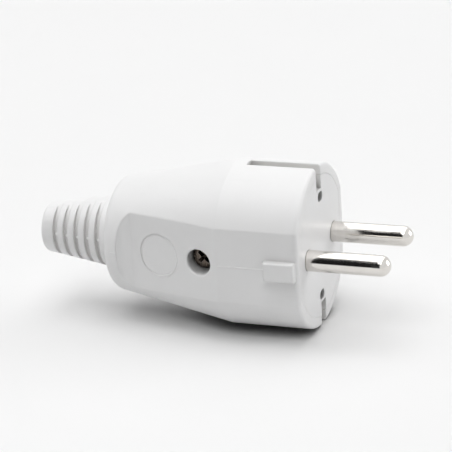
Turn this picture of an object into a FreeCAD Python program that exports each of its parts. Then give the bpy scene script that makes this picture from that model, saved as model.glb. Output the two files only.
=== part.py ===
import FreeCAD, Part
import math
import os
import Sketcher

# Rewirable type F plug. X runs along the plug with the pins towards +X, Y across the two pins, Z up.
# The origin is the centre of the engagement face. All lengths are in millimetres, angles in degrees.

doc = FreeCAD.newDocument("TypeFPlug")
sheet = doc.addObject("Spreadsheet::Sheet", "D")
sheet.Label = "Dimensions"

DIMENSIONS = [
    # housing, outer shape
    ("rim_radius", 19.0),
    ("rim_round", 0.8),
    ("cylinder_length", 19.2),
    ("body_length", 48.4),
    ("rear_radius", 13.15),
    ("rear_round", 2.2),
    ("flat_half_width", 16.9),
    ("recess_end", "=collar_front - run_out_length"),
    ("recess_half_width", 11.35),
    ("recess_run_out", 4.0),
    ("run_out_length", 3.2),
    ("collar_front", "=body_length - collar_length"),
    ("collar_length", 3.6),
    ("recess_edge_round", 0.4),
    # housing, guide ribs on the flats
    ("rib_front", 0.6),
    ("rib_length", 7.1),
    ("rib_height", 4.3),
    ("rib_rise", 1.7),
    ("rib_half_span", "=flat_half_width + rib_rise"),
    ("rib_round", 0.4),
    # housing, bend protector
    ("gland_length", 18.8),
    ("gland_end", "=body_length + gland_length"),
    ("gland_root_radius", 8.8),
    ("gland_end_radius", 5.8),
    ("gland_round", 1.0),
    ("gland_root_round", 0.8),
    ("cable_radius", 4.25),
    ("groove_setback", 3.4),
    ("groove_first", "=body_length + groove_setback"),
    ("groove_pitch", 2.85),
    ("groove_count", 5),
    ("groove_width", 1.2),
    ("groove_shift", 1.7),
    ("groove_end_angle", 80),
    ("groove_edge_round", 0.1),
    # housing, inside
    ("wall", 2.6),
    ("mouth_end_gap", 0.1),
    ("mouth_depth", "=carrier_length + mouth_end_gap"),
    ("cavity_half_width", 8.6),
    ("cavity_half_height", 9.5),
    ("cavity_round", 2.5),
    ("cavity_back_wall", 5.0),
    ("cavity_end", "=body_length - cavity_back_wall"),
    # earth slots in the housing
    ("slot_width", 3.2),
    ("slot_length", 16.2),
    ("slot_edge_round", 0.25),
    # round mark on the recess
    ("mark_x", 34.35),
    ("mark_radius", 5.1),
    ("mark_line", 0.3),
    ("mark_depth", 0.15),
    # housing screw and its nut
    ("screw_setback", 4.65),
    ("screw_x", "=cylinder_length + screw_setback"),
    ("screw_seat", 10.3),
    ("screw_head_radius", 2.85),
    ("screw_head_height", 1.6),
    ("screw_radius", 1.5),
    ("screw_end", 5.2),
    ("screw_well_round", 0.3),
    ("head_clearance", 0.2),
    ("shank_clearance", 0.3),
    ("recess_arm", 1.6),
    ("recess_arm_width", 0.7),
    ("recess_depth", 1.0),
    ("nut_side", 5.5),
    ("nut_thickness", 2.0),
    ("nut_outer_face", 7.65),
    ("nut_clearance", 0.1),
    # pins
    ("pin_radius", 2.4),
    ("pin_length", 19.0),
    ("pin_spacing", 19.0),
    ("pin_clearance", 0.05),
    ("pin_neck_radius", 2.2),
    ("pin_neck_front", 0.05),
    ("pin_neck_length", 0.55),
    ("pin_shank_radius", 1.95),
    ("pin_shank_end", 11.0),
    # pin carrier
    ("fit_gap", 0.03),
    ("carrier_overrun", 0.9),
    ("carrier_length", "=cylinder_length + carrier_overrun"),
    ("wire_channel_start", 9.0),
    ("wire_channel_half_width", 4.4),
    ("wire_channel_half_height", 6.2),
    ("blind_hole_inset", 1.65),
    ("blind_hole_z", "=face_groove_end - blind_hole_inset"),
    ("blind_hole_offset", 0.7),
    ("blind_hole_half_flat", 0.8),
    ("blind_hole_half_height", 1.1),
    ("blind_hole_end_round", 1.15),
    ("blind_hole_depth", 8.0),
    ("cradle_end_gap", 1.4),
    ("cradle_end", "=cavity_end - cradle_end_gap"),
    ("cradle_gap", 0.25),
    ("cradle_bottom", 8.2),
    ("cradle_front_top", 4.2),
    ("cradle_step_gap", 4.0),
    ("cradle_step_x", "=clamp_x - clamp_length / 2 - cradle_step_gap"),
    ("cradle_trough_half_width", 5.0),
    ("cradle_trough_floor", 4.4),
    # terminals of the pins
    ("terminal_front", 7.0),
    ("terminal_length", 8.0),
    ("terminal_half_width", 3.4),
    ("terminal_bottom", 3.4),
    ("terminal_top", 4.2),
    ("terminal_clearance", 0.1),
    ("wire_x", 12.6),
    ("wire_hole_radius", 1.4),
    ("window_radius", 1.6),
    ("terminal_screw_radius", 1.4),
    ("terminal_screw_tip", 1.5),
    ("terminal_head_radius", 2.2),
    ("terminal_head_bottom", 4.6),
    ("terminal_head_height", 1.8),
    ("screwdriver_slot_width", 0.7),
    ("screwdriver_slot_depth", 0.7),
    ("thread_clearance", 0.05),
    # earth strap
    ("strap_width", 2.9),
    ("strap_thickness", 0.8),
    ("strap_front", 1.3),
    ("strap_depth", 1.4),
    ("strap_contact_z", "=rim_radius - strap_depth"),
    ("strap_contact_end", 14.2),
    ("strap_step_end", 15.6),
    ("strap_seat_gap", 0.4),
    ("strap_low_z", "=rim_radius - wall - strap_seat_gap"),
    ("strap_rear_inset", 1.25),
    ("strap_rear", "=carrier_length - strap_rear_inset"),
    ("strap_hook_reach", 2.65),
    ("strap_hook_z", "=strap_low_z - strap_hook_reach"),
    ("strap_bend_round", 0.7),
    ("strap_clearance", 0.1),
    ("strap_groove_width", 3.3),
    ("face_groove_depth", 2.3),
    ("face_groove_spare", 0.15),
    ("face_groove_end", "=strap_hook_z - face_groove_spare"),
    # earth terminal
    ("earth_lug_half", 3.2),
    ("earth_nut_side", 5.5),
    ("earth_nut_thickness", 2.2),
    ("earth_screw_radius", 1.5),
    ("earth_screw_reach", 3.65),
    ("earth_screw_tip", "=strap_rear - earth_screw_reach"),
    ("earth_washer_radius", 3.0),
    ("earth_washer_thickness", 0.6),
    ("earth_head_radius", 2.6),
    ("earth_head_height", 1.8),
    # cord clamp
    ("clamp_setback", 6.0),
    ("clamp_x", "=cradle_end - clamp_setback"),
    ("clamp_length", 6.0),
    ("clamp_seat", 1.0),
    ("clamp_ear_top", 3.6),
    ("clamp_ear_inner", 4.9),
    ("clamp_crown_half_width", 3.6),
    ("clamp_crown", 5.7),
    ("clamp_screw_y", 6.65),
    ("clamp_screw_radius", 1.05),
    ("clamp_screw_end", 4.0),
    ("clamp_head_radius", 1.6),
    ("clamp_head_height", 1.3),
    ("clamp_hole_depth", 5.4),
]

for row, (alias, size) in enumerate(DIMENSIONS, start=1):
    sheet.set("A%d" % row, alias)
    sheet.setAlias("B%d" % row, alias)
for row, (alias, size) in enumerate(DIMENSIONS, start=1):
    sheet.set("B%d" % row, str(size))
doc.recompute()


def value(expression):
    return float(sheet.evalExpression(expression))


def new_body(label):
    body = doc.addObject("PartDesign::Body", "".join(word.title() for word in label.split("_")))
    body.Label = label
    return body


def new_sketch(body, name, plane, offset=None):
    sketch = body.newObject("Sketcher::SketchObject", body.Name + name)
    origin_plane = [item for item in body.Origin.OriginFeatures if item.Role == plane + "_Plane"][0]
    sketch.AttachmentSupport = [(origin_plane, "")]
    sketch.MapMode = "FlatFace"
    if offset:
        sketch.setExpression(".AttachmentOffset.Base.z", offset)
    return sketch


def add_loop(sketch, corners):
    # Closed outline. Each corner is (x, y), or (x, y, radius, turn) when an arc leads to the next corner,
    # with turn 1 for an anticlockwise arc and -1 for a clockwise one.
    first = sketch.GeometryCount
    places = [FreeCAD.Vector(value(corner[0]), value(corner[1]), 0) for corner in corners]
    count = len(corners)
    starts = []
    for index, corner in enumerate(corners):
        here = places[index]
        there = places[(index + 1) % count]
        if len(corner) == 2:
            sketch.addGeometry(Part.LineSegment(here, there))
            starts.append((1, 2))
            continue
        radius = value(corner[2])
        chord = there - here
        rise = math.sqrt(max(radius ** 2 - chord.Length ** 2 / 4, 0.0))
        normal = FreeCAD.Vector(-chord.y, chord.x, 0).normalize() * corner[3]
        centre = (here + there) * 0.5 + normal * rise
        ends = [here, there] if corner[3] > 0 else [there, here]
        angles = [math.atan2(end.y - centre.y, end.x - centre.x) for end in ends]
        if angles[1] < angles[0]:
            angles[1] += 2 * math.pi
        circle = Part.Circle(centre, FreeCAD.Vector(0, 0, 1), radius)
        sketch.addGeometry(Part.ArcOfCircle(circle, angles[0], angles[1]))
        starts.append((1, 2) if corner[3] > 0 else (2, 1))
    for index in range(count):
        after = (index + 1) % count
        sketch.addConstraint(Sketcher.Constraint(
            "Coincident", first + index, starts[index][1], first + after, starts[after][0]))
    for index, corner in enumerate(corners):
        geometry = first + index
        for kind, size in (("DistanceX", corner[0]), ("DistanceY", corner[1])):
            point = starts[index][0]
            number = sketch.addConstraint(Sketcher.Constraint(kind, -1, 1, geometry, point, value(size)))
            sketch.setExpression("Constraints[%d]" % number, size)
        if len(corner) == 4:
            number = sketch.addConstraint(Sketcher.Constraint("Radius", geometry, value(corner[2])))
            sketch.setExpression("Constraints[%d]" % number, corner[2])


def add_circle(sketch, x, y, radius):
    circle = Part.Circle(FreeCAD.Vector(value(x), value(y), 0), FreeCAD.Vector(0, 0, 1), value(radius))
    geometry = sketch.addGeometry(circle)
    for kind, size in (("DistanceX", x), ("DistanceY", y)):
        number = sketch.addConstraint(Sketcher.Constraint(kind, -1, 1, geometry, 3, value(size)))
        sketch.setExpression("Constraints[%d]" % number, size)
    number = sketch.addConstraint(Sketcher.Constraint("Radius", geometry, value(radius)))
    sketch.setExpression("Constraints[%d]" % number, radius)


def add_box(sketch, x0, x1, y0, y1):
    add_loop(sketch, [(x0, y0), (x1, y0), (x1, y1), (x0, y1)])


def revolve(body, name, sketch, axis, kind="Revolution", angle="360"):
    feature = body.newObject("PartDesign::" + kind, body.Name + name)
    feature.Profile = sketch
    feature.ReferenceAxis = (sketch, [axis])
    feature.Midplane = True
    feature.setExpression("Angle", angle)
    sketch.Visibility = False
    doc.recompute()
    return feature


def extrude(body, name, sketch, kind, length=None, midplane=False, reverse=False):
    before = body.Shape.Volume if kind == "Pocket" else 0.0
    feature = body.newObject("PartDesign::" + kind, body.Name + name)
    feature.Profile = sketch
    if length:
        feature.setExpression("Length", length)
    else:
        feature.Type = "ThroughAll"
    feature.Midplane = midplane
    feature.Reversed = reverse
    sketch.Visibility = False
    doc.recompute()
    if kind == "Pocket" and not body.Shape.Volume < before - 1e-6:
        raise RuntimeError(body.Label + ": " + name + " removes nothing")
    return feature


def ease_edges(body, name, size, chosen):
    base = body.Tip
    edges = ["Edge%d" % (index + 1) for index, edge in enumerate(base.Shape.Edges) if chosen(edge)]
    if not edges:
        raise RuntimeError(body.Label + ": no edge for " + name)
    feature = body.newObject("PartDesign::Fillet", body.Name + name)
    feature.Base = (base, edges)
    feature.setExpression("Radius", size)
    doc.recompute()
    return feature


def near(a, b):
    return abs(a - b) < 1e-4


def lies_at_x(edge, x):
    return near(edge.BoundBox.XMin, x) and near(edge.BoundBox.XMax, x)


def flatted_circle(radius, half):
    rise = "sqrt((%s)^2 - (%s)^2)" % (radius, half)
    return [
        (half, rise, radius, 1),
        ("-(%s)" % half, rise),
        ("-(%s)" % half, "-(%s)" % rise, radius, 1),
        (half, "-(%s)" % rise),
    ]


# Housing: a turned outer shape, then flats, finger recesses, guide ribs, slots and the inside.
housing = new_body("housing")
sketch = new_sketch(housing, "OutlineSketch", "XZ")
add_loop(sketch, [
    ("0", "0"),
    ("0", "D.rim_radius"),
    ("-D.cylinder_length", "D.rim_radius"),
    ("-D.body_length", "D.rear_radius"),
    ("-D.body_length", "D.gland_root_radius"),
    ("-D.gland_end", "D.gland_end_radius"),
    ("-D.gland_end", "0"),
])
revolve(housing, "Outline", sketch, "H_Axis")
rear_x = -value("D.body_length")
gland_x = -value("D.gland_end")
rear_r = value("D.rear_radius")
root_r = value("D.gland_root_radius")
ease_edges(housing, "RearRound", "D.rear_round",
           lambda edge: lies_at_x(edge, rear_x) and near(edge.BoundBox.ZMax, rear_r))
ease_edges(housing, "GlandRootRound", "D.gland_root_round",
           lambda edge: lies_at_x(edge, rear_x) and near(edge.BoundBox.ZMax, root_r))
ease_edges(housing, "GlandEndRound", "D.gland_round", lambda edge: lies_at_x(edge, gland_x))

sketch = new_sketch(housing, "RecessSketch", "XY")
for side in ("", "-"):
    add_loop(sketch, [
        ("D.rim_round", side + "D.flat_half_width"),
        ("-D.cylinder_length", side + "D.flat_half_width"),
        ("-D.recess_end", side + "D.recess_half_width",
         "D.recess_run_out", 1 if side else -1),
        ("-D.collar_front", side + "(D.recess_half_width + D.collar_front - D.recess_end)"),
        ("-D.collar_front", side + "(D.rim_radius + D.rim_round)"),
        ("D.rim_round", side + "(D.rim_radius + D.rim_round)"),
    ])
extrude(housing, "Recesses", sketch, "Pocket", midplane=True)
ease_edges(housing, "RecessEdgeRound", "D.recess_edge_round",
           lambda edge: edge.BoundBox.XLength > 2 and abs(edge.CenterOfMass.z) > value("D.gland_end_radius")
           and abs(edge.CenterOfMass.y) > value("D.gland_root_radius"))
ease_edges(housing, "RimRound", "D.rim_round", lambda edge: lies_at_x(edge, 0.0))

sketch = new_sketch(housing, "RibSketch", "XY")
for side in ("", "-"):
    add_box(sketch, "-(D.rib_front + D.rib_length)", "-D.rib_front",
            side + "(D.flat_half_width - D.wall / 2)", side + "D.rib_half_span")
extrude(housing, "Ribs", sketch, "Pad", "D.rib_height", midplane=True)
rib_y = value("D.rib_half_span")
ease_edges(housing, "RibRound", "D.rib_round",
           lambda edge: near(abs(edge.CenterOfMass.y), rib_y) and near(edge.BoundBox.YLength, 0))

# Each groove is a pair of crescents that run out towards the top and the bottom of the bend protector.
for index in range(int(value("D.groove_count"))):
    middle = "(D.groove_first + D.groove_pitch * %d)" % index
    taper = "(D.gland_root_radius - D.gland_end_radius) / D.gland_length"
    surface = "(D.gland_root_radius - (%s - D.body_length) * %s)" % (middle, taper)
    floor = "sqrt(%s^2 + D.groove_shift^2 + 2 * %s * D.groove_shift * cos(D.groove_end_angle))" % (
        surface, surface)
    tip = "sqrt((%s)^2 - D.groove_shift^2)" % floor
    sketch = new_sketch(housing, "Groove%dSketch" % index, "YZ", "-(%s - D.groove_width / 2)" % middle)
    add_circle(sketch, "0", "0", "D.rear_radius")
    add_loop(sketch, [("0", "-" + tip, floor, 1), ("0", tip, floor, 1)])
    extrude(housing, "Groove%d" % index, sketch, "Pocket", "D.groove_width")
gland_slope = (root_r - value("D.gland_end_radius")) / value("D.gland_length")
groove_zone = (gland_x + value("D.gland_round"), rear_x - value("D.gland_root_round"))


def on_groove_rim(edge):
    # The long arcs where a groove breaks through the surface of the bend protector.
    middle = edge.valueAt((edge.FirstParameter + edge.LastParameter) / 2)
    surface = root_r - gland_slope * (rear_x - middle.x)
    return (groove_zone[0] < middle.x < groove_zone[1] and edge.Length > root_r / 2
            and abs(math.hypot(middle.y, middle.z) - surface) < 0.02 and edge.BoundBox.XLength < 0.05)


ease_edges(housing, "GrooveEdgeRound", "D.groove_edge_round", on_groove_rim)

sketch = new_sketch(housing, "MouthSketch", "YZ")
add_loop(sketch, flatted_circle("D.rim_radius - D.wall", "D.flat_half_width - D.wall"))
extrude(housing, "Mouth", sketch, "Pocket", "D.mouth_depth")

sketch = new_sketch(housing, "CavitySketch", "YZ")
wide = "D.cavity_half_width"
tall = "D.cavity_half_height"
wide_in = "(D.cavity_half_width - D.cavity_round)"
tall_in = "(D.cavity_half_height - D.cavity_round)"
add_loop(sketch, [
    (wide, "-" + tall_in), (wide, tall_in, "D.cavity_round", 1),
    (wide_in, tall), ("-" + wide_in, tall, "D.cavity_round", 1),
    ("-" + wide, tall_in), ("-" + wide, "-" + tall_in, "D.cavity_round", 1),
    ("-" + wide_in, "-" + tall), (wide_in, "-" + tall, "D.cavity_round", 1),
])
extrude(housing, "Cavity", sketch, "Pocket", "D.cavity_end")

sketch = new_sketch(housing, "CableSketch", "YZ")
add_circle(sketch, "0", "0", "D.cable_radius")
extrude(housing, "CableEntry", sketch, "Pocket")

sketch = new_sketch(housing, "SlotSketch", "XY")
add_box(sketch, "-D.slot_length", "D.rim_round", "-D.slot_width / 2", "D.slot_width / 2")
extrude(housing, "EarthSlots", sketch, "Pocket", midplane=True)
slot_y = value("D.slot_width") / 2
ease_edges(housing, "SlotEdgeRound", "D.slot_edge_round",
           lambda edge: near(abs(edge.CenterOfMass.y), slot_y) and near(edge.BoundBox.YLength, 0)
           and edge.BoundBox.XLength > value("D.slot_length") / 2 and edge.BoundBox.ZLength < 0.1
           and abs(edge.CenterOfMass.z) > value("D.rim_radius") - 0.2)

screw_well = "(D.screw_head_radius + D.head_clearance)"
sketch = new_sketch(housing, "ScrewWellSketch", "XZ", "D.rim_radius")
add_circle(sketch, "-D.screw_x", "0", screw_well)
extrude(housing, "ScrewWell", sketch, "Pocket", "D.rim_radius - D.screw_seat")
ease_edges(housing, "ScrewWellRound", "D.screw_well_round",
           lambda edge: len(edge.Vertexes) == 1 and edge.CenterOfMass.y < -value("D.screw_seat") - 1
           and abs(edge.CenterOfMass.x + value("D.screw_x")) < 1)
sketch = new_sketch(housing, "ScrewHoleSketch", "XZ", "D.rim_radius")
add_circle(sketch, "-D.screw_x", "0", "D.screw_radius + D.shank_clearance")
extrude(housing, "ScrewHole", sketch, "Pocket", "D.rim_radius - D.cavity_half_width / 2")

slope = "(D.flat_half_width - D.recess_half_width) / (D.recess_end - D.cylinder_length)"
sketch = new_sketch(housing, "MarkSketch", "XZ",
                    "D.flat_half_width - (D.mark_x - D.cylinder_length) * " + slope)
sketch.setExpression(".AttachmentOffset.Base.x", "-D.mark_x")
sketch.AttachmentOffset = FreeCAD.Placement(
    sketch.AttachmentOffset.Base, FreeCAD.Rotation(FreeCAD.Vector(0, -1, 0), 1))
sketch.setExpression(".AttachmentOffset.Rotation.Angle", "atan(%s)" % slope)
add_circle(sketch, "0", "0", "D.mark_radius")
add_circle(sketch, "0", "0", "D.mark_radius - D.mark_line")
extrude(housing, "Mark", sketch, "Pocket", "D.mark_depth")

# Pin carrier: the hard core that fills the mouth, with a trough for the cord behind it.
carrier = new_body("pin_carrier")
sketch = new_sketch(carrier, "BlockSketch", "YZ")
add_loop(sketch, flatted_circle(
    "(D.rim_radius - D.wall - D.fit_gap)", "(D.flat_half_width - D.wall - D.fit_gap)"))
extrude(carrier, "Block", sketch, "Pad", "D.carrier_length", reverse=True)

cradle_half = "(D.cavity_half_width - D.cradle_gap)"
low = "-D.cradle_bottom"
low_in = "-(D.cradle_bottom - D.cavity_round)"
side_in = "(D.cavity_half_width - D.cradle_gap - D.cavity_round)"
cradle_front = "(D.terminal_front + D.terminal_length + D.wall)"
sketch = new_sketch(carrier, "CradleSketch", "YZ", "-" + cradle_front)
add_loop(sketch, [
    (cradle_half, low_in), (cradle_half, "D.cradle_front_top"),
    ("-" + cradle_half, "D.cradle_front_top"), ("-" + cradle_half, low_in, "D.cavity_round", 1),
    ("-" + side_in, low), (side_in, low, "D.cavity_round", 1),
])
extrude(carrier, "Cradle", sketch, "Pad", "D.cradle_end - " + cradle_front, reverse=True)

sketch = new_sketch(carrier, "TroughSketch", "YZ", "-D.carrier_length")
add_box(sketch, "-D.cradle_trough_half_width", "D.cradle_trough_half_width",
        "-D.cradle_trough_floor", "D.cradle_front_top + D.wall")
extrude(carrier, "Trough", sketch, "Pocket")
sketch = new_sketch(carrier, "StepSketch", "XZ")
add_box(sketch, "-(D.cradle_end + D.wall)", "-D.cradle_step_x",
        "D.clamp_seat", "D.cradle_front_top + D.wall")
extrude(carrier, "Step", sketch, "Pocket", midplane=True)

sketch = new_sketch(carrier, "WireChannelSketch", "YZ", "-D.wire_channel_start")
add_box(sketch, "-D.wire_channel_half_width", "D.wire_channel_half_width",
        "-D.wire_channel_half_height", "D.wire_channel_half_height")
extrude(carrier, "WireChannel", sketch, "Pocket", "D.carrier_length - D.wire_channel_start")

sketch = new_sketch(carrier, "ChamberSketch", "XY", "-D.terminal_bottom - D.terminal_clearance")
for side in ("", "-"):
    add_box(sketch, "-(D.terminal_front + D.terminal_length + D.terminal_clearance)", "-D.terminal_front",
            side + "(D.pin_spacing / 2 - D.terminal_half_width - D.terminal_clearance)",
            side + "(D.pin_spacing / 2 + D.terminal_half_width + D.terminal_clearance)")
extrude(carrier, "Chambers", sketch, "Pocket", reverse=True)

sketch = new_sketch(carrier, "PinHoleSketch", "YZ")
for side in ("", "-"):
    add_circle(sketch, side + "D.pin_spacing / 2", "0", "D.pin_radius + D.pin_clearance")
extrude(carrier, "PinHoles", sketch, "Pocket", "D.terminal_front")

sketch = new_sketch(carrier, "WindowSketch", "XZ")
add_circle(sketch, "-D.wire_x", "0", "D.window_radius")
extrude(carrier, "Windows", sketch, "Pocket", "D.pin_spacing", midplane=True)

strap_floor = "(D.strap_low_z - D.strap_thickness - D.strap_clearance)"
bar_front = "-(D.strap_rear - D.strap_thickness)"
beyond = "(D.rim_radius + D.wall)"
sketch = new_sketch(carrier, "StrapGrooveSketch", "XZ")
add_loop(sketch, [
    ("D.wall", beyond), ("D.wall", "D.face_groove_end"),
    ("-D.face_groove_depth", "D.face_groove_end"), ("-D.face_groove_depth", strap_floor),
    (bar_front, strap_floor), (bar_front, "-" + strap_floor),
    ("-D.face_groove_depth", "-" + strap_floor), ("-D.face_groove_depth", "-D.face_groove_end"),
    ("D.wall", "-D.face_groove_end"), ("D.wall", "-" + beyond),
    ("-D.carrier_length", "-" + beyond), ("-D.carrier_length", beyond),
])
extrude(carrier, "StrapGroove", sketch, "Pocket", "D.strap_groove_width", midplane=True)

sketch = new_sketch(carrier, "BlindHoleSketch", "YZ")
for side in ("", "-"):
    near_end = side + "D.blind_hole_offset - D.blind_hole_half_flat"
    far_end = side + "D.blind_hole_offset + D.blind_hole_half_flat"
    hole_low = side + "D.blind_hole_z - D.blind_hole_half_height"
    hole_high = side + "D.blind_hole_z + D.blind_hole_half_height"
    add_loop(sketch, [
        (near_end, hole_low), (far_end, hole_low, "D.blind_hole_end_round", 1),
        (far_end, hole_high), (near_end, hole_high, "D.blind_hole_end_round", 1),
    ])
extrude(carrier, "BlindHoles", sketch, "Pocket", "D.blind_hole_depth")

nut_half = "(D.nut_side / 2 + D.nut_clearance)"
sketch = new_sketch(carrier, "NutPocketSketch", "XY", "-" + nut_half)
add_box(sketch, "-(D.screw_x + %s)" % nut_half, "-(D.screw_x - %s)" % nut_half,
        "-(D.nut_outer_face + D.nut_clearance)", "-(D.nut_outer_face - D.nut_thickness - D.nut_clearance)")
extrude(carrier, "NutPocket", sketch, "Pocket", reverse=True)
sketch = new_sketch(carrier, "NutScrewSketch", "XZ", "D.cavity_half_width")
add_circle(sketch, "-D.screw_x", "0", "D.screw_radius + D.shank_clearance")
extrude(carrier, "NutScrewHole", sketch, "Pocket", "D.cavity_half_width - D.cradle_trough_half_width")

sketch = new_sketch(carrier, "ClampHoleSketch", "XY", "D.clamp_seat")
for side in ("", "-"):
    add_circle(sketch, "-D.clamp_x", side + "D.clamp_screw_y", "D.clamp_screw_radius + D.thread_clearance")
extrude(carrier, "ClampHoles", sketch, "Pocket", "D.clamp_hole_depth")

# Contact pins with their terminal blocks and screws, one set on each side.
for name, side in (("line", "-"), ("neutral", "")):
    pin = new_body(name + "_pin")
    sketch = new_sketch(pin, "Sketch", "XY")
    add_loop(sketch, [
        ("D.pin_length", "0", "D.pin_radius", 1),
        ("D.pin_length - D.pin_radius", "D.pin_radius"),
        ("D.pin_neck_front", "D.pin_radius"),
        ("D.pin_neck_front", "D.pin_neck_radius"),
        ("D.pin_neck_front - D.pin_neck_length", "D.pin_neck_radius"),
        ("D.pin_neck_front - D.pin_neck_length", "D.pin_radius"),
        ("-D.terminal_front", "D.pin_radius"),
        ("-D.terminal_front", "D.pin_shank_radius"),
        ("-D.pin_shank_end", "D.pin_shank_radius"),
        ("-D.pin_shank_end", "0"),
    ])
    revolve(pin, "Turned", sketch, "H_Axis")
    pin.setExpression(".Placement.Base.y", side + "D.pin_spacing / 2")

    block = new_body(name + "_terminal")
    sketch = new_sketch(block, "Sketch", "XZ")
    add_box(sketch, "-(D.terminal_front + D.terminal_length)", "-D.terminal_front",
            "-D.terminal_bottom", "D.terminal_top")
    extrude(block, "Block", sketch, "Pad", "D.terminal_half_width * 2", midplane=True)
    sketch = new_sketch(block, "PinHoleSketch", "YZ", "-D.terminal_front")
    add_circle(sketch, "0", "0", "D.pin_shank_radius + D.thread_clearance")
    extrude(block, "PinHole", sketch, "Pocket", "D.pin_shank_end - D.terminal_front + D.thread_clearance")
    sketch = new_sketch(block, "WireHoleSketch", "XZ")
    add_circle(sketch, "-D.wire_x", "0", "D.wire_hole_radius")
    extrude(block, "WireHole", sketch, "Pocket", midplane=True)
    sketch = new_sketch(block, "ScrewHoleSketch", "XY", "D.terminal_top")
    add_circle(sketch, "-D.wire_x", "0", "D.terminal_screw_radius + D.thread_clearance")
    extrude(block, "ScrewHole", sketch, "Pocket", "D.terminal_top")
    block.setExpression(".Placement.Base.y", side + "D.pin_spacing / 2")

    screw = new_body(name + "_terminal_screw")
    sketch = new_sketch(screw, "Sketch", "XZ")
    add_loop(sketch, [
        ("0", "D.terminal_screw_tip"),
        ("D.terminal_screw_radius", "D.terminal_screw_tip"),
        ("D.terminal_screw_radius", "D.terminal_head_bottom"),
        ("D.terminal_head_radius", "D.terminal_head_bottom"),
        ("D.terminal_head_radius", "D.terminal_head_bottom + D.terminal_head_height"),
        ("0", "D.terminal_head_bottom + D.terminal_head_height"),
    ])
    revolve(screw, "Turned", sketch, "V_Axis")
    sketch = new_sketch(screw, "SlotSketch", "XY", "D.terminal_head_bottom + D.terminal_head_height")
    add_box(sketch, "-D.terminal_head_radius * 2", "D.terminal_head_radius * 2",
            "-D.screwdriver_slot_width / 2", "D.screwdriver_slot_width / 2")
    extrude(screw, "Slot", sketch, "Pocket", "D.screwdriver_slot_depth")
    screw.setExpression(".Placement.Base.x", "-D.wire_x")
    screw.setExpression(".Placement.Base.y", side + "D.pin_spacing / 2")

# Earth strap: one bent strip, a contact arm in each slot, hooked into the face and joined behind the block.
strap = new_body("earth_strap")
thick = "D.strap_thickness"
outer = [
    ("-D.strap_front", "D.strap_hook_z"), ("-D.strap_front", "D.strap_contact_z"),
    ("-D.strap_contact_end", "D.strap_contact_z"), ("-D.strap_step_end", "D.strap_low_z"),
    ("-D.strap_rear", "D.strap_low_z"),
]
inner = [
    ("-(D.strap_rear - %s)" % thick, "D.strap_low_z - " + thick),
    ("-(D.strap_step_end - %s / 2)" % thick, "D.strap_low_z - " + thick),
    ("-(D.strap_contact_end - %s / 2)" % thick, "D.strap_contact_z - " + thick),
    ("-(D.strap_front + %s)" % thick, "D.strap_contact_z - " + thick),
    ("-(D.strap_front + %s)" % thick, "D.strap_hook_z"),
]
mirrored = [[(x, "-(%s)" % z) for x, z in path] for path in (outer, inner)]
sketch = new_sketch(strap, "Sketch", "XZ")
add_loop(sketch, outer + mirrored[0][::-1] + mirrored[1][::-1] + inner)
extrude(strap, "Strip", sketch, "Pad", "D.strap_width", midplane=True)
bends = [
    (-value("D.strap_front"), value("D.strap_contact_z")),
    (-value("D.strap_rear"), value("D.strap_low_z")),
]
ease_edges(strap, "Bends", "D.strap_bend_round",
           lambda edge: any(near(edge.CenterOfMass.x, x) and near(abs(edge.CenterOfMass.z), z)
                            for x, z in bends)
           and near(edge.BoundBox.YLength, value("D.strap_width")))
sketch = new_sketch(strap, "LugSketch", "YZ", "-(D.strap_rear - D.strap_thickness)")
add_box(sketch, "-D.earth_lug_half", "D.earth_lug_half", "-D.earth_lug_half", "D.earth_lug_half")
extrude(strap, "Lug", sketch, "Pad", "D.strap_thickness", reverse=True)
sketch = new_sketch(strap, "ScrewHoleSketch", "YZ")
add_circle(sketch, "0", "0", "D.earth_screw_radius + D.thread_clearance")
extrude(strap, "ScrewHole", sketch, "Pocket")

# Earth terminal: nut inside, washer and screw outside the strap.
earth_nut = new_body("earth_terminal_nut")
sketch = new_sketch(earth_nut, "Sketch", "YZ", "-(D.strap_rear - D.strap_thickness)")
nut_edge = "D.earth_nut_side / 2"
add_box(sketch, "-" + nut_edge, nut_edge, "-" + nut_edge, nut_edge)
add_circle(sketch, "0", "0", "D.earth_screw_radius + D.thread_clearance")
extrude(earth_nut, "Plate", sketch, "Pad", "D.earth_nut_thickness")

washer = new_body("earth_clamp_washer")
sketch = new_sketch(washer, "Sketch", "YZ", "-D.strap_rear")
add_circle(sketch, "0", "0", "D.earth_washer_radius")
add_circle(sketch, "0", "0", "D.earth_screw_radius + D.thread_clearance")
extrude(washer, "Plate", sketch, "Pad", "D.earth_washer_thickness", reverse=True)

earth_screw = new_body("earth_terminal_screw")
head_front = "-(D.strap_rear + D.earth_washer_thickness)"
head_rear = "-(D.strap_rear + D.earth_washer_thickness + D.earth_head_height)"
sketch = new_sketch(earth_screw, "Sketch", "XY")
add_loop(sketch, [
    ("-D.earth_screw_tip", "0"),
    ("-D.earth_screw_tip", "D.earth_screw_radius"),
    (head_front, "D.earth_screw_radius"),
    (head_front, "D.earth_head_radius"),
    (head_rear, "D.earth_head_radius"),
    (head_rear, "0"),
])
revolve(earth_screw, "Turned", sketch, "H_Axis")
sketch = new_sketch(earth_screw, "SlotSketch", "XZ")
add_box(sketch, head_rear, head_rear + " + D.screwdriver_slot_depth",
        "-D.screwdriver_slot_width / 2", "D.screwdriver_slot_width / 2")
extrude(earth_screw, "Slot", sketch, "Pocket", midplane=True)

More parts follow.
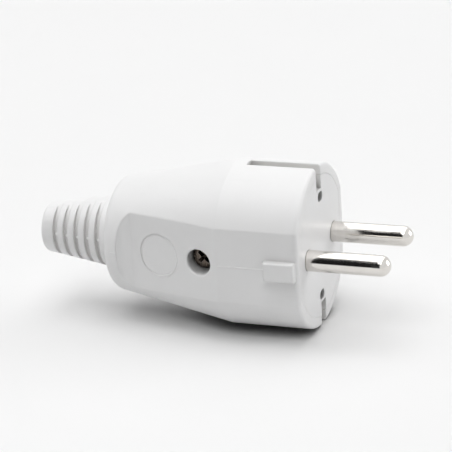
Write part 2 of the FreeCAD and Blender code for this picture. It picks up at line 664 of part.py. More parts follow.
# Cord clamp: an arched bar across the trough with a screw at each end.
clamp = new_body("cord_clamp")
arch = "sqrt(D.cable_radius^2 - D.clamp_seat^2)"
sketch = new_sketch(clamp, "Sketch", "YZ", "-(D.clamp_x - D.clamp_length / 2)")
add_loop(sketch, [
    (arch, "D.clamp_seat"),
    (cradle_half, "D.clamp_seat"), (cradle_half, "D.clamp_ear_top"),
    ("D.clamp_ear_inner", "D.clamp_ear_top"), ("D.clamp_crown_half_width", "D.clamp_crown"),
    ("-D.clamp_crown_half_width", "D.clamp_crown"), ("-D.clamp_ear_inner", "D.clamp_ear_top"),
    ("-" + cradle_half, "D.clamp_ear_top"), ("-" + cradle_half, "D.clamp_seat"),
    ("-" + arch, "D.clamp_seat", "D.cable_radius", -1),
])
extrude(clamp, "Bar", sketch, "Pad", "D.clamp_length", reverse=True)
sketch = new_sketch(clamp, "ScrewHoleSketch", "XY")
for side in ("", "-"):
    add_circle(sketch, "-D.clamp_x", side + "D.clamp_screw_y", "D.clamp_screw_radius + D.shank_clearance")
extrude(clamp, "ScrewHoles", sketch, "Pocket", reverse=True)

for name, side in (("left", "-"), ("right", "")):
    screw = new_body("cord_clamp_screw_" + name)
    sketch = new_sketch(screw, "Sketch", "XZ")
    add_loop(sketch, [
        ("0", "-D.clamp_screw_end"),
        ("D.clamp_screw_radius", "-D.clamp_screw_end"),
        ("D.clamp_screw_radius", "D.clamp_ear_top"),
        ("D.clamp_head_radius", "D.clamp_ear_top"),
        ("D.clamp_head_radius", "D.clamp_ear_top + D.clamp_head_height"),
        ("0", "D.clamp_ear_top + D.clamp_head_height"),
    ])
    revolve(screw, "Turned", sketch, "V_Axis")
    sketch = new_sketch(screw, "SlotSketch", "XY", "D.clamp_ear_top + D.clamp_head_height")
    add_box(sketch, "-D.clamp_head_radius * 2", "D.clamp_head_radius * 2",
            "-D.screwdriver_slot_width / 2", "D.screwdriver_slot_width / 2")
    extrude(screw, "Slot", sketch, "Pocket", "D.screwdriver_slot_depth")
    screw.setExpression(".Placement.Base.x", "-D.clamp_x")
    screw.setExpression(".Placement.Base.y", side + "D.clamp_screw_y")

# Housing screw from the -Y side, and the square nut that it finds in the trough wall.
housing_screw = new_body("housing_screw")
head_top = "-(D.screw_seat + D.screw_head_height)"
sketch = new_sketch(housing_screw, "Sketch", "XY")
add_loop(sketch, [
    ("0", "-D.screw_end"),
    ("D.screw_radius", "-D.screw_end"),
    ("D.screw_radius", "-D.screw_seat"),
    ("D.screw_head_radius", "-D.screw_seat"),
    ("D.screw_head_radius", head_top),
    ("0", head_top),
])
revolve(housing_screw, "Turned", sketch, "V_Axis")
sketch = new_sketch(housing_screw, "RecessSketch", "XZ", "D.screw_seat + D.screw_head_height")
arm = "D.recess_arm"
thin = "D.recess_arm_width / 2"
add_loop(sketch, [
    (arm, "-" + thin), (arm, thin), (thin, thin), (thin, arm), ("-" + thin, arm), ("-" + thin, thin),
    ("-" + arm, thin), ("-" + arm, "-" + thin), ("-" + thin, "-" + thin), ("-" + thin, "-" + arm),
    (thin, "-" + arm), (thin, "-" + thin),
])
extrude(housing_screw, "CrossRecess", sketch, "Pocket", "D.recess_depth")
housing_screw.setExpression(".Placement.Base.x", "-D.screw_x")

nut = new_body("housing_nut")
sketch = new_sketch(nut, "Sketch", "XZ", "D.nut_outer_face - D.nut_thickness")
add_box(sketch, "-(D.screw_x + D.nut_side / 2)", "-(D.screw_x - D.nut_side / 2)",
        "-D.nut_side / 2", "D.nut_side / 2")
add_circle(sketch, "-D.screw_x", "0", "D.screw_radius + D.thread_clearance")
extrude(nut, "Plate", sketch, "Pad", "D.nut_thickness")

doc.recompute()
for item in doc.Objects:
    if "Invalid" in item.State or "Error" in item.State:
        raise RuntimeError(item.Name + " is not valid")

os.makedirs("parts", exist_ok=True)
for body in doc.findObjects("PartDesign::Body"):
    shape = body.Shape
    if shape.isNull() or not shape.isValid() or len(shape.Solids) != 1:
        raise RuntimeError(body.Label + " is not one valid solid")
    shape.exportStep("parts/%s.step" % body.Label)
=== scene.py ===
import math

import bmesh
import bpy
from mathutils import Matrix, Vector


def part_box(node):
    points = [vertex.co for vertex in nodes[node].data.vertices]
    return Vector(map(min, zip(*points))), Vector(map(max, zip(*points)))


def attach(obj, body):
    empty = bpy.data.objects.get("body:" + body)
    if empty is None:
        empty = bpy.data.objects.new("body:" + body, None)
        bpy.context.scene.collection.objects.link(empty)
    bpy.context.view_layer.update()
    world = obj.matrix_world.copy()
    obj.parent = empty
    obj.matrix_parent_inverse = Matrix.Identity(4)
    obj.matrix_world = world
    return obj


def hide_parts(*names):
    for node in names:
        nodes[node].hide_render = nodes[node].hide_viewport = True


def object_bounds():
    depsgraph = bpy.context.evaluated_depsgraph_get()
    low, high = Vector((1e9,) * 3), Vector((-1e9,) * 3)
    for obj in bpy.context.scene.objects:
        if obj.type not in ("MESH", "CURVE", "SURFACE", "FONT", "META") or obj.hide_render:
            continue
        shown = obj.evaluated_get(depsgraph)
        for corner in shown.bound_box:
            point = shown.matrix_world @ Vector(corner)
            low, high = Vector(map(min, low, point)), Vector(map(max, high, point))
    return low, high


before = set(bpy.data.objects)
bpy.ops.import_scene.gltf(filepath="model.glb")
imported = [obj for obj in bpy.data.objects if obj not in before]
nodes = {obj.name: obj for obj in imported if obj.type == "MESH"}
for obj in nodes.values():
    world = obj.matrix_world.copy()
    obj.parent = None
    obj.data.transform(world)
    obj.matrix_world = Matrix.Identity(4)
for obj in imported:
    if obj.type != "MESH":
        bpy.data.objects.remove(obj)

# Rewirable type F plug on a white studio table. Metres, in the part's own frame:
# X along the plug with the pins towards +X, Y across the two pins, Z up.

cad_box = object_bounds()
MM = 0.001


def mm(lengths):
    return tuple(length * MM for length in lengths)


# Node trees

def add_node(tree, kind, settings=None, values=None, links=None):
    node = tree.nodes.new(kind)
    for key, setting in (settings or {}).items():
        setattr(node, key, setting)
    for key, number in (values or {}).items():
        node.inputs[key].default_value = number
    for key, source in (links or {}).items():
        tree.links.new(source, node.inputs[key])
    return node


def remap(tree, source, start, end):
    # 0 at start and 1 at end, held beyond both.
    return add_node(tree, "ShaderNodeMapRange", values={"From Min": start, "From Max": end},
                    links={"Value": source}).outputs["Result"]


def spread(tree, source, low, high):
    return add_node(tree, "ShaderNodeMapRange", values={"To Min": low, "To Max": high},
                    links={"Value": source}).outputs["Result"]


def combine(tree, operation, first, second):
    return add_node(tree, "ShaderNodeMath", {"operation": operation},
                    links={0: first, 1: second}).outputs["Value"]


def blend_colours(tree, mask, first, second):
    # The first colour where the mask is 0, the second where it is 1.
    mix = add_node(tree, "ShaderNodeMix", {"data_type": "RGBA"}, links={"Factor": mask})
    colour_a, colour_b, blended = mix.inputs[6], mix.inputs[7], mix.outputs[2]
    for socket, colour in ((colour_a, first), (colour_b, second)):
        if isinstance(colour, tuple):
            socket.default_value = colour + (1.0,)
        else:
            tree.links.new(colour, socket)
    return blended


def grey(tone):
    return (tone, tone, tone)


def toned(colour, share):
    return tuple(channel * share for channel in colour)


# Shared surface effects, as shader node groups

def start_group(name, inputs, outputs):
    group = bpy.data.node_groups.new(name, "ShaderNodeTree")
    for label, start in inputs:
        socket = group.interface.new_socket(label, in_out="INPUT", socket_type="NodeSocketFloat")
        socket.default_value = start
    for label in outputs:
        group.interface.new_socket(label, in_out="OUTPUT", socket_type="NodeSocketFloat")
    return group, group.nodes.new("NodeGroupInput"), group.nodes.new("NodeGroupOutput")


def make_moulded_skin():
    # Grain of a satin mould, with the slow tone and gloss changes of thick plastic.
    group, given, result = start_group(
        "moulded_skin", [("Grain", 5200.0), ("Cloud", 90.0)], ["Height", "Tone", "Gloss"])
    place = add_node(group, "ShaderNodeTexCoord").outputs["Object"]
    grain = add_node(group, "ShaderNodeTexNoise", values={"Detail": 3.0, "Roughness": 0.6},
                     links={"Vector": place, "Scale": given.outputs["Grain"]})
    cloud = add_node(group, "ShaderNodeTexNoise", values={"Detail": 4.0, "Roughness": 0.55},
                     links={"Vector": place, "Scale": given.outputs["Cloud"]})
    patch = add_node(group, "ShaderNodeTexNoise",
                     values={"Scale": 420.0, "Detail": 5.0, "Roughness": 0.65},
                     links={"Vector": place})
    tone = remap(group, cloud.outputs["Fac"], 0.3, 0.7)
    gloss = remap(group, patch.outputs["Fac"], 0.32, 0.68)
    group.links.new(grain.outputs["Fac"], result.inputs["Height"])
    group.links.new(tone, result.inputs["Tone"])
    group.links.new(gloss, result.inputs["Gloss"])
    return group


def make_hairlines():
    # Short fine scratches from handling and packing, lying in two directions.
    group, given, result = start_group(
        "hairlines", [("Spacing", 700.0), ("Amount", 0.12)], ["Mask"])
    place = add_node(group, "ShaderNodeTexCoord").outputs["Object"]
    low = add_node(group, "ShaderNodeMath", {"operation": "SUBTRACT"}, {0: 0.78},
                   {1: given.outputs["Amount"]})
    masks = []
    for turn in ((0.3, 0.5, 0.35), (-0.4, 0.2, -0.75)):
        turned = add_node(group, "ShaderNodeMapping",
                          values={"Rotation": turn, "Scale": (0.07, 1.0, 1.0)},
                          links={"Vector": place})
        lines = add_node(group, "ShaderNodeTexNoise", values={"Detail": 2.0, "Distortion": 0.4},
                         links={"Vector": turned.outputs["Vector"],
                                "Scale": given.outputs["Spacing"]})
        cut = add_node(group, "ShaderNodeMapRange", values={"From Max": 0.8},
                       links={"Value": lines.outputs["Fac"], "From Min": low.outputs["Value"]})
        masks.append(cut.outputs["Result"])
    group.links.new(combine(group, "MAXIMUM", *masks), result.inputs["Mask"])
    return group


def make_edge_rounding():
    # How far an edge rounds away from its faces, broken up by noise: worn edges on metal, and on
    # plastic rubbed edges with a painted highlight.
    group, given, result = start_group(
        "edge_rounding", [("Reach", 0.0002), ("Break up", 900.0)], ["Mask"])
    place = add_node(group, "ShaderNodeTexCoord").outputs["Object"]
    rounded = add_node(group, "ShaderNodeBevel", {"samples": 4},
                       links={"Radius": given.outputs["Reach"]})
    plain = add_node(group, "ShaderNodeNewGeometry")
    likeness = add_node(group, "ShaderNodeVectorMath", {"operation": "DOT_PRODUCT"},
                        links={0: rounded.outputs["Normal"], 1: plain.outputs["Normal"]})
    edge = remap(group, likeness.outputs["Value"], 1.0, 0.86)
    noise = add_node(group, "ShaderNodeTexNoise", values={"Detail": 3.0},
                     links={"Vector": place, "Scale": given.outputs["Break up"]})
    patch = remap(group, noise.outputs["Fac"], 0.35, 0.62)
    group.links.new(combine(group, "MULTIPLY", edge, patch), result.inputs["Mask"])
    return group


def make_tool_marks():
    # Fine rings that a lathe leaves along X.
    group, given, result = start_group("tool_marks", [("Pitch", 9000.0)], ["Height", "Gloss"])
    place = add_node(group, "ShaderNodeTexCoord").outputs["Object"]
    flat = add_node(group, "ShaderNodeMapping", values={"Scale": (1.0, 0.02, 0.02)},
                    links={"Vector": place})
    rings = add_node(group, "ShaderNodeTexNoise", values={"Detail": 2.0},
                     links={"Vector": flat.outputs["Vector"], "Scale": given.outputs["Pitch"]})
    cloud = add_node(group, "ShaderNodeTexNoise", values={"Scale": 350.0, "Detail": 4.0},
                     links={"Vector": place})
    mix = combine(group, "MULTIPLY", rings.outputs["Fac"], cloud.outputs["Fac"])
    group.links.new(rings.outputs["Fac"], result.inputs["Height"])
    group.links.new(remap(group, mix, 0.1, 0.45), result.inputs["Gloss"])
    return group


def make_crevice_shade():
    # Painted shade for tight corners (Mask) and for deeper wells and slots (Hollow), which little
    # light reaches.
    group, given, result = start_group(
        "crevice_shade", [("Near", 0.0025), ("Far", 0.006)], ["Mask", "Hollow"])
    for label, reach, open_from, shut_at in (("Mask", "Near", 0.82, 0.2),
                                             ("Hollow", "Far", 0.72, 0.3)):
        openness = add_node(group, "ShaderNodeAmbientOcclusion",
                            {"samples": 8, "only_local": True},
                            links={"Distance": given.outputs[reach]})
        group.links.new(remap(group, openness.outputs["AO"], open_from, shut_at),
                        result.inputs[label])
    return group


moulded_skin = make_moulded_skin()
hairlines = make_hairlines()
edge_rounding = make_edge_rounding()
tool_marks = make_tool_marks()
crevice_shade = make_crevice_shade()


# Materials

PLASTIC_IOR = 1.52
SCRATCHED = 0.985  # of the deep colour
# Painted shade in deep hollows:
HOLLOW_SHADE = 0.6  # of the deep colour
# Rubbed edges of plastic, partly wear and partly painted highlight:
RUBBED_AND_HIGHLIT_EDGE = 1.1  # of the pale colour
# Painted shade in the corners of metal:
METAL_CORNER_SHADE = 0.3  # of the dull colour
METAL_SOFT_EDGE = 0.00008
SCRATCH_ROUGHNESS = 0.12
# Painted shade in the tight corners of pale plastic
PALE_CORNER_SHADE = (0.79, 0.775, 0.765)


def start_material(name):
    material = bpy.data.materials.new(name)
    material.use_nodes = True
    tree = material.node_tree
    return material, tree, tree.nodes["Principled BSDF"]


def use_group(tree, group, values=None):
    return add_node(tree, "ShaderNodeGroup", {"node_tree": group}, values)


def bump(tree, shader, height, depth, soft_edge):
    # Surface relief on edges that are eased by soft_edge.
    eased = add_node(tree, "ShaderNodeBevel", {"samples": 6}, {"Radius": soft_edge})
    node = add_node(tree, "ShaderNodeBump", values={"Distance": depth},
                    links={"Height": height, "Normal": eased.outputs["Normal"]})
    tree.links.new(node.outputs["Normal"], shader.inputs["Normal"])


def plastic(name, pale, deep, corner, gloss, grain, grain_depth, soft_edge):
    # Clouded base, then scratches, then painted shade in hollows and in corners (the corner
    # colour), with rubbed and painted-highlit edges laid over them.
    material, tree, shader = start_material(name)
    skin = use_group(tree, moulded_skin, {"Grain": grain})
    scratches = use_group(tree, hairlines, {"Spacing": 620.0, "Amount": 0.1})
    shade_in_crevices = use_group(tree, crevice_shade)
    edge_mask = use_group(tree, edge_rounding, {"Reach": 0.00025, "Break up": 500.0})
    colour = blend_colours(tree, skin.outputs["Tone"], deep, pale)
    colour = blend_colours(tree, scratches.outputs["Mask"], colour, toned(deep, SCRATCHED))
    # Painted shade: darker in wells and slots, then the corner colour in tight corners
    colour = blend_colours(tree, shade_in_crevices.outputs["Hollow"], colour, toned(deep, HOLLOW_SHADE))
    colour = blend_colours(tree, shade_in_crevices.outputs["Mask"], colour, corner)
    # Paler edges: partly wear, partly painted highlight
    colour = blend_colours(tree, edge_mask.outputs["Mask"], colour, toned(pale, RUBBED_AND_HIGHLIT_EDGE))
    tree.links.new(colour, shader.inputs["Base Color"])
    tree.links.new(spread(tree, skin.outputs["Gloss"], *gloss), shader.inputs["Roughness"])
    bump(tree, shader, skin.outputs["Height"], grain_depth, soft_edge)
    shader.inputs["IOR"].default_value = PLASTIC_IOR
    return material


def metal(name, bright, dull, worn, gloss, marks_depth):
    # Streaked base, then worn edges, with painted shade in the corners laid over them.
    material, tree, shader = start_material(name)
    marks = use_group(tree, tool_marks)
    scratches = use_group(tree, hairlines, {"Spacing": 900.0, "Amount": 0.14})
    edge_mask = use_group(tree, edge_rounding)
    shade_in_crevices = use_group(tree, crevice_shade, {"Near": 0.0016})
    colour = blend_colours(tree, marks.outputs["Gloss"], dull, bright)
    colour = blend_colours(tree, edge_mask.outputs["Mask"], colour, worn)
    # Painted shade in tight corners
    colour = blend_colours(tree, shade_in_crevices.outputs["Mask"], colour, toned(dull, METAL_CORNER_SHADE))
    tree.links.new(colour, shader.inputs["Base Color"])
    smooth = spread(tree, marks.outputs["Gloss"], *gloss)
    rough = add_node(tree, "ShaderNodeMath", {"operation": "MULTIPLY_ADD"},
                     {1: SCRATCH_ROUGHNESS}, {0: scratches.outputs["Mask"], 2: smooth})
    tree.links.new(rough.outputs["Value"], shader.inputs["Roughness"])
    bump(tree, shader, marks.outputs["Height"], marks_depth, METAL_SOFT_EDGE)
    shader.inputs["Metallic"].default_value = 1.0
    return material


housing_plastic = plastic(
    "housing_plastic", pale=grey(0.86), deep=grey(0.84), corner=PALE_CORNER_SHADE,
    gloss=(0.36, 0.48), grain=5200.0, grain_depth=6e-6, soft_edge=0.0006)
carrier_plastic = plastic(
    "carrier_plastic", pale=grey(0.85), deep=(0.83, 0.83, 0.835), corner=(0.36, 0.35, 0.34),
    gloss=(0.30, 0.42), grain=6500.0, grain_depth=4e-6, soft_edge=0.00006)
# The housing's plastic a little paler, as a painted highlight along the fine flash ridges, the
# mark's ring and the nubs
highlit_flash_plastic = plastic(
    "highlit_flash_plastic", pale=grey(0.90), deep=grey(0.87), corner=PALE_CORNER_SHADE,
    gloss=(0.34, 0.46), grain=5200.0, grain_depth=2e-6, soft_edge=0.00002)
clamp_plastic = plastic(
    "clamp_plastic", pale=(0.62, 0.62, 0.60), deep=(0.55, 0.55, 0.54), corner=(0.30, 0.30, 0.29),
    gloss=(0.38, 0.50), grain=4200.0, grain_depth=8e-6, soft_edge=0.00025)
nickel_plate = metal(
    "nickel_plate", bright=(0.79, 0.765, 0.735), dull=(0.72, 0.695, 0.66),
    worn=(0.80, 0.76, 0.66), gloss=(0.09, 0.17), marks_depth=4e-7)
strap_nickel = metal(
    "strap_nickel", bright=(0.72, 0.70, 0.66), dull=(0.60, 0.58, 0.54),
    worn=(0.74, 0.62, 0.38), gloss=(0.18, 0.32), marks_depth=1e-6)
brass = metal(
    "brass", bright=(0.78, 0.58, 0.26), dull=(0.62, 0.44, 0.18),
    worn=(0.88, 0.70, 0.36), gloss=(0.22, 0.36), marks_depth=2e-6)
zinc_steel = metal(
    "zinc_steel", bright=(0.62, 0.64, 0.66), dull=(0.48, 0.50, 0.52),
    worn=grey(0.70), gloss=(0.24, 0.40), marks_depth=2e-6)
browned_steel = metal(
    "browned_steel", bright=(0.20, 0.165, 0.14), dull=(0.10, 0.08, 0.065),
    worn=(0.46, 0.42, 0.38), gloss=(0.22, 0.36), marks_depth=3e-6)

finishes = {
    "housing": housing_plastic,
    "pin_carrier": carrier_plastic,
    "line_pin": nickel_plate,
    "neutral_pin": nickel_plate,
    "line_terminal": brass,
    "neutral_terminal": brass,
    "line_terminal_screw": zinc_steel,
    "neutral_terminal_screw": zinc_steel,
    "earth_strap": strap_nickel,
    "earth_terminal_nut": brass,
    "earth_clamp_washer": zinc_steel,
    "earth_terminal_screw": zinc_steel,
    "cord_clamp": clamp_plastic,
    "cord_clamp_screw_left": zinc_steel,
    "cord_clamp_screw_right": zinc_steel,
    "housing_screw": browned_steel,
    "housing_nut": brass,
}
for name, material in finishes.items():
    node = nodes[name]
    node.data.materials.clear()
    node.data.materials.append(material)


# Small pieces that the moulds leave, and the cross-recessed screw. Lengths in mm.

SMOOTH_ANGLE = math.radians(38.0)

FLAT_LINE = ((-19.0, -16.9, 0.0), (-8.0, -16.9, 0.0))
FLAT_LINE_RADIUS = 0.09
COLLAR_LINE = ((-44.5, -13.93, 0.0), (-46.3, -13.57, 0.0))
COLLAR_LINE_RADIUS = 0.08
LINE_UNEVENNESS = 0.22  # of the radius
LINE_TIP = 0.35  # of the radius

MARK_CENTRE = (-34.35, -13.146, 0.0)
MARK_OUTWARD = (-0.2405, -0.9707, 0.0)
MARK_HEAVY_SIDE = (0.9707, -0.2405, -0.6)
MARK_RADIUS = 4.95
MARK_BEAD = 0.15
MARK_SUNK = 0.12
MARK_UNEVENNESS = 0.012
MARK_STEPS = 12
MARK_BAND = 0.38
MARK_LIFT = 0.011

NUB_PLACE = (-51.43, -7.62, 0.5)
NUB_SIZE = (0.8, 1.25, 0.95)
NUB_TIP_PLACE = (-51.74, -7.4, 0.42)
NUB_TIP_SCALE = (1.0, 0.6, 0.35)
NUB_ROUND = 0.12
GROOVES = 5
GROOVE_PITCH = 2.85
GROOVE_TAPER = 0.4548

HEAD_HEIGHT = 1.6
HEAD_ROUND = 0.7
SHANK_RADIUS = 1.25
THREAD_TURNS = 8
THREAD_RISE = 1.19  # of the shank's radius
BLADE_SIZE = (3.9, 1.7, 1.0)
BLADE_DEPTH = 0.55
BLADE_TIP_DEPTH = 1.4
BLADE_TIP_SCALE = (0.45, 1.0, 0.45)
BLADE_TURNS = (45.0, 135.0)


def choose(piece):
    bpy.ops.object.select_all(action="DESELECT")
    piece.select_set(True)
    bpy.context.view_layer.objects.active = piece


def edit(piece):
    bpy.context.view_layer.objects.active = piece
    bpy.ops.object.mode_set(mode="EDIT")


def pick(piece, kind, test):
    # Selects only the vertices, edges or faces that pass the test.
    bpy.ops.mesh.select_mode(type={"verts": "VERT", "edges": "EDGE", "faces": "FACE"}[kind])
    bpy.ops.mesh.select_all(action="DESELECT")
    mesh = bmesh.from_edit_mesh(piece.data)
    for item in getattr(mesh, kind):
        item.select_set(bool(test(item)))
    mesh.select_flush_mode()
    bmesh.update_edit_mesh(piece.data)


def settle(piece):
    # Back to object mode, with the piece's place in its mesh.
    bpy.ops.object.mode_set(mode="OBJECT")
    choose(piece)
    bpy.ops.object.transform_apply(location=True, rotation=True, scale=True)


def dress(piece, name, material):
    settle(piece)
    bpy.ops.object.shade_smooth_by_angle(angle=SMOOTH_ANGLE)
    piece.name = name
    piece.data.name = name
    piece.data.materials.clear()
    piece.data.materials.append(material)
    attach(piece, "root")


def copy_piece(piece, name, shift=(0.0, 0.0, 0.0), half_turn=False):
    # A copy moved by shift, and with half_turn carried round the plug's axis to its far side.
    choose(piece)
    bpy.ops.object.duplicate(linked=False)
    twin = bpy.context.object
    edit(twin)
    bpy.ops.mesh.select_all(action="SELECT")
    bpy.ops.transform.translate(value=shift)
    if half_turn:
        bpy.ops.transform.rotate(value=math.pi, orient_axis="X", center_override=(0.0, 0.0, 0.0))
    bpy.ops.object.mode_set(mode="OBJECT")
    twin.name = name
    twin.data.name = name
    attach(twin, "root")


def build_flash_line(name, ends, radius, cuts, seed):
    # A fine uneven ridge where the two halves of the mould met.
    start, end = Vector(ends[0]) * MM, Vector(ends[1]) * MM
    run = end - start
    bpy.ops.object.select_all(action="DESELECT")
    bpy.ops.mesh.primitive_cylinder_add(vertices=10, radius=radius * MM, depth=run.length,
                                        location=(start + end) / 2,
                                        rotation=run.to_track_quat("Z", "Y").to_euler())
    ridge = bpy.context.object
    settle(ridge)
    edit(ridge)
    pick(ridge, "edges", lambda edge: edge.calc_length() > run.length / 2)
    bpy.ops.mesh.subdivide(number_cuts=cuts)
    bpy.ops.mesh.select_all(action="SELECT")
    bpy.ops.transform.vertex_random(offset=radius * LINE_UNEVENNESS * MM, seed=seed)
    for tip in (start, end):
        pick(ridge, "verts", lambda vert: (vert.co - tip).length < radius * 1.5 * MM)
        bpy.ops.transform.resize(value=(LINE_TIP, LINE_TIP, LINE_TIP), center_override=tip)
    dress(ridge, name, highlit_flash_plastic)
    return ridge


def build_mark_flash():
    # Flash in the ring of the round mark, proud of the recess on one side and sunk on the other.
    centre = Vector(MARK_CENTRE) * MM
    outward = Vector(MARK_OUTWARD)
    heavy = Vector(MARK_HEAVY_SIDE).normalized()
    bpy.ops.object.select_all(action="DESELECT")
    bpy.ops.mesh.primitive_torus_add(major_radius=MARK_RADIUS * MM, minor_radius=MARK_BEAD * MM,
                                     major_segments=120, minor_segments=10,
                                     location=centre - outward * MARK_SUNK * MM,
                                     rotation=outward.to_track_quat("Z", "Y").to_euler())
    ring = bpy.context.object
    settle(ring)
    edit(ring)
    bpy.ops.mesh.select_all(action="SELECT")
    bpy.ops.transform.vertex_random(offset=MARK_UNEVENNESS * MM, seed=3)
    for step in range(1, MARK_STEPS + 1):
        for side in (1, -1):
            pick(ring, "verts",
                 lambda vert: (vert.co - centre).dot(heavy) * side > step * MARK_BAND * MM)
            bpy.ops.transform.translate(value=outward * side * MARK_LIFT * MM)
    dress(ring, "mark_flash", highlit_flash_plastic)


def build_gland_nub():
    # A crumb of flash on the front wall of the first groove of the bend protector.
    bpy.ops.object.select_all(action="DESELECT")
    bpy.ops.mesh.primitive_cube_add(size=1.0, location=mm(NUB_PLACE), scale=mm(NUB_SIZE))
    nub = bpy.context.object
    settle(nub)
    edit(nub)
    pick(nub, "faces", lambda face: face.normal.x < -0.5)
    bpy.ops.transform.resize(value=NUB_TIP_SCALE, center_override=mm(NUB_TIP_PLACE))
    bpy.ops.mesh.select_all(action="SELECT")
    bpy.ops.mesh.bevel(offset=NUB_ROUND * MM, segments=3, affect="EDGES")
    dress(nub, "gland_nub_1", highlit_flash_plastic)
    return nub


def build_housing_screw():
    low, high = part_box("housing_screw")
    axis_x, axis_z = (low[0] + high[0]) / 2, (low[2] + high[2]) / 2
    radius = (high[0] - low[0]) / 2
    top, seat, tail = low[1], low[1] + HEAD_HEIGHT * MM, high[1]
    bpy.ops.object.select_all(action="DESELECT")
    bpy.ops.mesh.primitive_cylinder_add(vertices=64, radius=radius, depth=seat - top,
                                        location=(axis_x, (top + seat) / 2, axis_z),
                                        rotation=(math.radians(90.0), 0.0, 0.0))
    screw = bpy.context.object
    settle(screw)
    edit(screw)
    # Rounded rim of the pan head
    pick(screw, "edges", lambda edge: all(abs(vert.co.y - top) < 1e-6 for vert in edge.verts))
    bpy.ops.mesh.bevel(offset=HEAD_ROUND * MM, segments=7, affect="EDGES")
    # Shank with its thread, drawn out of the underside turn by turn
    pick(screw, "faces", lambda face: face.normal.y > 0.9)
    bpy.ops.mesh.inset(thickness=radius - SHANK_RADIUS * MM)
    step = (tail - seat) / (2 * THREAD_TURNS + 2)
    bpy.ops.mesh.extrude_region_move(TRANSFORM_OT_translate={"value": (0.0, 2 * step, 0.0)})
    for turn in range(THREAD_TURNS):
        for steps, scale in ((2 * turn + 3, THREAD_RISE), (2 * turn + 4, 1 / THREAD_RISE)):
            bpy.ops.mesh.extrude_region_move(TRANSFORM_OT_translate={"value": (0.0, step, 0.0)})
            bpy.ops.transform.resize(value=(scale, 1.0, scale),
                                     center_override=(axis_x, seat + step * steps, axis_z))
    settle(screw)
    # Cross recess, cut by two tapered blades
    for turn in BLADE_TURNS:
        bpy.ops.object.select_all(action="DESELECT")
        bpy.ops.mesh.primitive_cube_add(size=1.0, location=(axis_x, top + BLADE_DEPTH * MM, axis_z),
                                        rotation=(0.0, math.radians(turn), 0.0),
                                        scale=mm(BLADE_SIZE))
        blade = bpy.context.object
        settle(blade)
        edit(blade)
        pick(blade, "faces", lambda face: face.normal.y > 0.9)
        bpy.ops.transform.resize(value=BLADE_TIP_SCALE,
                                 center_override=(axis_x, top + BLADE_TIP_DEPTH * MM, axis_z))
        settle(blade)
        bpy.context.view_layer.objects.active = screw
        cut = screw.modifiers.new("cross_recess", "BOOLEAN")
        cut.operation = "DIFFERENCE"
        cut.object = blade
        bpy.ops.object.modifier_apply(modifier=cut.name)
        bpy.data.objects.remove(blade)
    dress(screw, "housing_screw_cross_head", browned_steel)
    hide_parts("housing_screw")


flat_line = build_flash_line("flat_flash_near", FLAT_LINE, FLAT_LINE_RADIUS, cuts=40, seed=4)
copy_piece(flat_line, "flat_flash_far", half_turn=True)
collar_line = build_flash_line("collar_flash_near", COLLAR_LINE, COLLAR_LINE_RADIUS, cuts=8, seed=7)
copy_piece(collar_line, "collar_flash_far", half_turn=True)
build_mark_flash()
first_nub = build_gland_nub()
for groove in range(GROOVES):
    shift = (-GROOVE_PITCH * groove * MM, GROOVE_TAPER * groove * MM, 0.0)
    if groove:
        copy_piece(first_nub, "gland_nub_%d" % (groove + 1), shift)
    copy_piece(first_nub, "gland_nub_far_%d" % (groove + 1), shift, half_turn=True)
build_housing_screw()


# Studio: table, sky, lamps and camera. Lengths in metres.

TABLE_SIDE = 6.0
TABLE_BACK = 2.8
TABLE_TONES = (0.845, 0.855)
TABLE_BOUNCE = 0.78
# Painted contact shadow under the plug: its tone and its reach
TABLE_CONTACT_SHADOW = 0.3
TABLE_CONTACT_SHADOW_REACH = 0.0035

WALLS = 0.17
MIRRORED_WALLS = 0.86
DARK_GAP = 0.012
BACKDROP = 0.94

# Name, place, side of the square, watts
SOFTBOXES = (
    ("top_softbox", (0.0, 0.0, 3.5), 2.6, 53.0),
    ("front_softbox", (0.2, -2.0, 3.0), 2.1, 36.0),
    ("back_softbox", (0.0, 2.1, 2.9), 2.2, 23.0),
    ("left_softbox", (-2.08, 0.0, 2.88), 2.8, 29.0),
    ("back_right_softbox", (3.04, 1.44, 1.12), 1.9, 35.0),
)

# Camera fitted to the pins and the face in the photo: degrees, mm and the photo's pixels
AZIMUTH, ELEVATION, ROLL = 21.006, 20.001, -3.453
AIM = (-20.0, 0.0, 0.0)
ACROSS, UPWARD, BACK = -2.74, 3.098, 469.005
FOCAL_PIXELS, PHOTO_PIXELS = 2044.247, 452.0
SENSOR_WIDTH = 36.0


def build_table():
    bpy.ops.object.select_all(action="DESELECT")
    bpy.ops.mesh.primitive_plane_add(size=TABLE_SIDE, location=(0.0, TABLE_BACK, cad_box[0][2]))
    table = bpy.context.object
    table.name = "studio_table"
    settle(table)
    material, tree, shader = start_material("table_white")
    shader.inputs["Roughness"].default_value = 0.9
    shader.inputs["Specular IOR Level"].default_value = 0.1
    place = add_node(tree, "ShaderNodeTexCoord").outputs["Object"]
    noise = add_node(tree, "ShaderNodeTexNoise", values={"Scale": 30.0, "Detail": 4.0},
                     links={"Vector": place})
    white = blend_colours(tree, noise.outputs["Fac"], grey(TABLE_TONES[0]), grey(TABLE_TONES[1]))
    # White to the eye and in the metal, and greyer where it only throws light back up.
    path = add_node(tree, "ShaderNodeLightPath")
    seen = combine(tree, "MAXIMUM", path.outputs["Is Camera Ray"], path.outputs["Is Glossy Ray"])
    surface = blend_colours(tree, seen, grey(TABLE_BOUNCE), white)
    # Painted contact shadow in the narrow gap under the plug, where nearly no light gets in.
    openness = add_node(tree, "ShaderNodeAmbientOcclusion", {"samples": 8},
                        {"Distance": TABLE_CONTACT_SHADOW_REACH})
    gap = remap(tree, openness.outputs["AO"], 0.75, 0.15)
    tree.links.new(blend_colours(tree, gap, surface, grey(TABLE_CONTACT_SHADOW)), shader.inputs["Base Color"])
    table.data.materials.append(material)


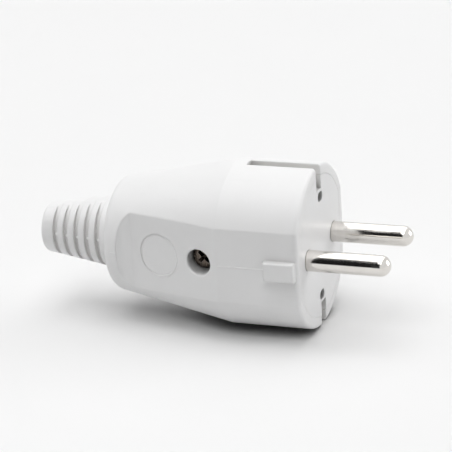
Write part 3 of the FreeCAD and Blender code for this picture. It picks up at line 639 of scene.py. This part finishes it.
def build_sky():
    world = bpy.data.worlds.new("studio_sky")
    bpy.context.scene.world = world
    world.use_nodes = True
    tree = world.node_tree
    tree.nodes.clear()
    place = add_node(tree, "ShaderNodeTexCoord").outputs["Generated"]
    axes = add_node(tree, "ShaderNodeSeparateXYZ", links={"Vector": place})
    # A dark gap in the walls, in front and to the left, stands as a black line in the pins.
    aside = add_node(tree, "ShaderNodeMath", {"operation": "ADD"}, {1: 0.25},
                     {0: axes.outputs["X"]})
    aside = add_node(tree, "ShaderNodeMath", {"operation": "ABSOLUTE"},
                     links={0: aside.outputs["Value"]})
    width = remap(tree, aside.outputs["Value"], 0.42, 0.30)
    front = remap(tree, axes.outputs["Y"], -0.44, -0.56)
    gap = combine(tree, "MULTIPLY", width, front)
    # The walls are dim where they light the plug, and white in its shine and to the eye.
    walls = blend_colours(tree, gap, grey(WALLS), grey(DARK_GAP))
    mirrored = blend_colours(tree, gap, grey(MIRRORED_WALLS), grey(DARK_GAP))
    path = add_node(tree, "ShaderNodeLightPath")
    lit = blend_colours(tree, path.outputs["Is Glossy Ray"], walls, mirrored)
    seen = blend_colours(tree, path.outputs["Is Camera Ray"], lit, grey(BACKDROP))
    sky = add_node(tree, "ShaderNodeBackground", values={"Strength": 1.0}, links={"Color": seen})
    add_node(tree, "ShaderNodeOutputWorld", links={"Surface": sky.outputs["Background"]})


def build_lamp(name, place, size, power):
    # A square softbox turned towards the plug.
    lamp = bpy.data.lights.new(name, "AREA")
    lamp.shape = "SQUARE"
    lamp.size = size
    lamp.energy = power
    holder = bpy.data.objects.new(name, lamp)
    bpy.context.scene.collection.objects.link(holder)
    holder.location = place
    holder.rotation_euler = (-Vector(place)).to_track_quat("-Z", "Y").to_euler()


def build_camera():
    azimuth, elevation = math.radians(AZIMUTH), math.radians(ELEVATION)
    roll = math.radians(ROLL)
    back = Vector((math.sin(azimuth) * math.cos(elevation),
                   -math.cos(azimuth) * math.cos(elevation),
                   math.sin(elevation)))
    right = back.cross(Vector((0.0, 0.0, 1.0))).normalized() * -1.0
    up = right.cross(-back)
    across = math.cos(roll) * right + math.sin(roll) * up
    upward = math.cos(roll) * up - math.sin(roll) * right
    place = Vector(AIM) + across * ACROSS + upward * UPWARD + back * BACK
    data = bpy.data.cameras.new("photo_camera")
    data.sensor_width = SENSOR_WIDTH
    data.lens = FOCAL_PIXELS / PHOTO_PIXELS * SENSOR_WIDTH
    data.clip_start = 0.01
    camera = bpy.data.objects.new("photo_camera", data)
    bpy.context.scene.collection.objects.link(camera)
    frame_of_view = Matrix((across, upward, back)).transposed().to_4x4()
    camera.matrix_world = Matrix.Translation(place * MM) @ frame_of_view
    bpy.context.scene.camera = camera


build_table()
build_sky()
for softbox in SOFTBOXES:
    build_lamp(*softbox)
build_camera()
bpy.context.scene.view_settings.view_transform = "Standard"
